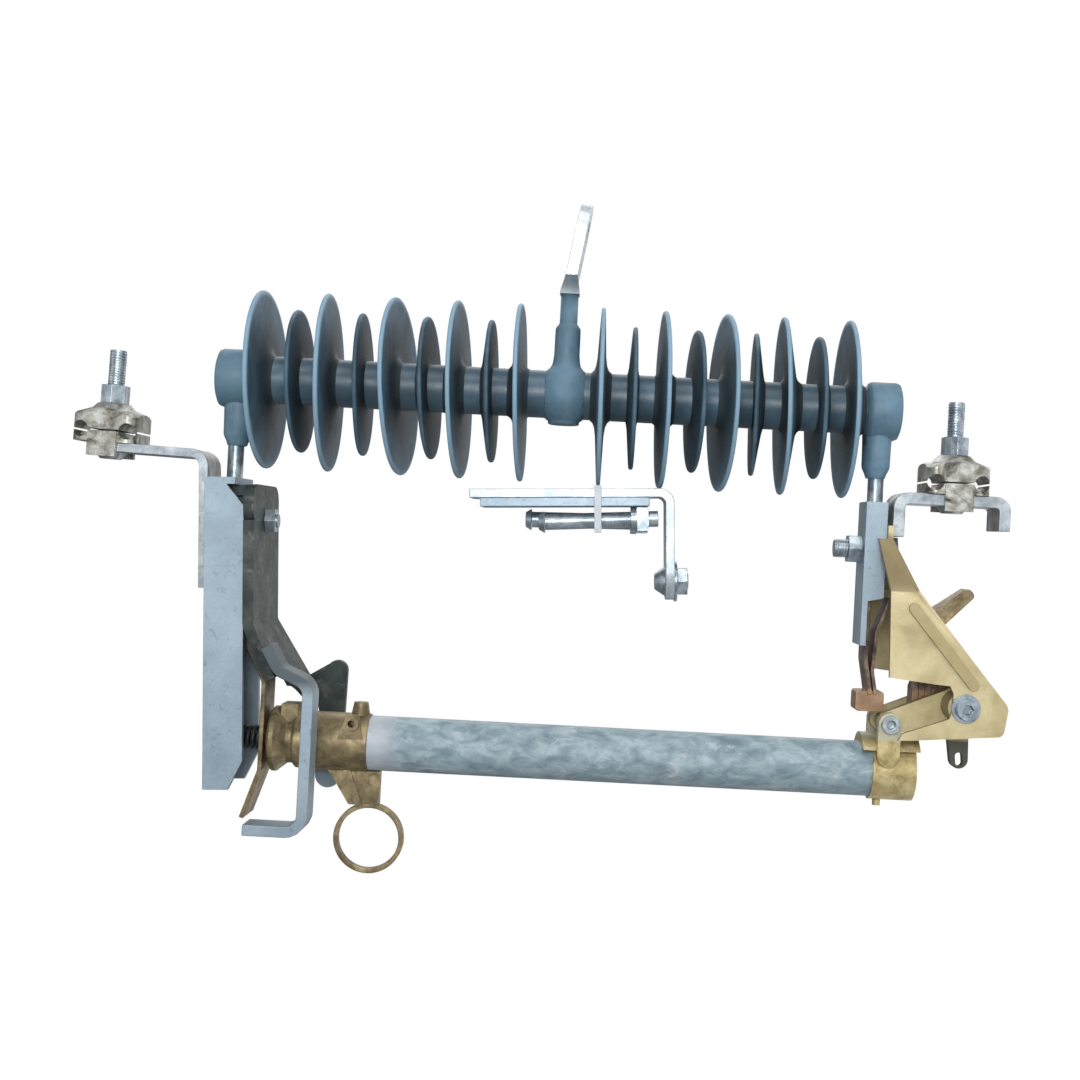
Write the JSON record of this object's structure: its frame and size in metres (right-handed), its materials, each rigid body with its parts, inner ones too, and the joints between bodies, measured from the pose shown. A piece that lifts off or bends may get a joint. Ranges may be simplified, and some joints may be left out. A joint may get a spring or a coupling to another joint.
{
  "type": "expulsion fuse cutout",
  "caption": "Drop-out expulsion fuse cutout: shedded rubber insulator with a hood and hooks, a hinged fuse tube with pull ring, conductor clamps, and a loose bracket kit.",
  "frame": {"origin": "seat point on the underside of the mounting tang, in the cutout's plane of symmetry", "axes": "+Z along the insulator up to the hood, +X back along the tang to the crossarm, the fuse tube at -X"},
  "size_m": [0.3869, 0.101, 0.5282],
  "materials": {
    "rubber": "satin",
    "galvanised": "satin",
    "dark_galvanised": "satin",
    "plated_steel": "satin",
    "tinned_bronze": "satin",
    "yellow_zinc": "satin",
    "brass": "satin",
    "bronze": "satin",
    "copper": "satin",
    "fibreglass": "matte",
    "tie": "matte"
  },
  "bodies": {
    "mount": {"insulator_housing": "rubber", "mounting_tang": "galvanised", "upper_stud": "plated_steel", "lower_stud": "plated_steel", "hood": "galvanised", "upper_terminal_bar": "galvanised", "upper_clamp_saddle": "tinned_bronze", "upper_clamp_keeper": "tinned_bronze", "upper_clamp_bolt": "plated_steel", "upper_clamp_nut": "plated_steel", "hood_bolt": "plated_steel", "hook_strap": "dark_galvanised", "front_hook": "galvanised", "rear_hook": "dark_galvanised", "upper_contact": "copper", "contact_spring": "plated_steel", "hinge_post": "galvanised", "hinge_bracket": "yellow_zinc", "hinge_bolt": "plated_steel", "hinge_nut": "plated_steel", "lower_contact": "copper", "stop_lug": "bronze", "pivot_bolt": "plated_steel", "pivot_nut": "plated_steel", "lower_terminal_bar": "galvanised", "lower_clamp_saddle": "tinned_bronze", "lower_clamp_keeper": "tinned_bronze", "lower_clamp_bolt": "plated_steel", "lower_clamp_nut": "plated_steel", "kit_angle": "galvanised", "kit_back_strap": "galvanised", "kit_long_bolts": "plated_steel", "kit_long_nuts": "plated_steel", "kit_tie": "tie", "kit_short_bolt": "plated_steel", "kit_short_nut": "plated_steel"},
    "fuse_holder": {"fuse_tube": "fibreglass", "upper_ferrule": "bronze", "contact_cap": "bronze", "pull_ring": "bronze", "lower_ferrule": "brass", "trunnion": "yellow_zinc", "toggle_pin": "plated_steel"},
    "ejector": {"ejector_lever": "copper"}
  },
  "joints": [
    {"name": "holder_drop_out", "type": "hinge", "parent": "mount", "child": "fuse_holder", "pos_m": [-0.2405, 0, -0.2231], "axis": [0, -1, 0], "range_deg": [0, 165]},
    {"name": "ejector_flip", "type": "hinge", "parent": "fuse_holder", "child": "ejector", "pos_m": [-0.2405, 0, -0.2231], "axis": [0, -1, 0], "range_deg": [0, 45]}
  ]
}
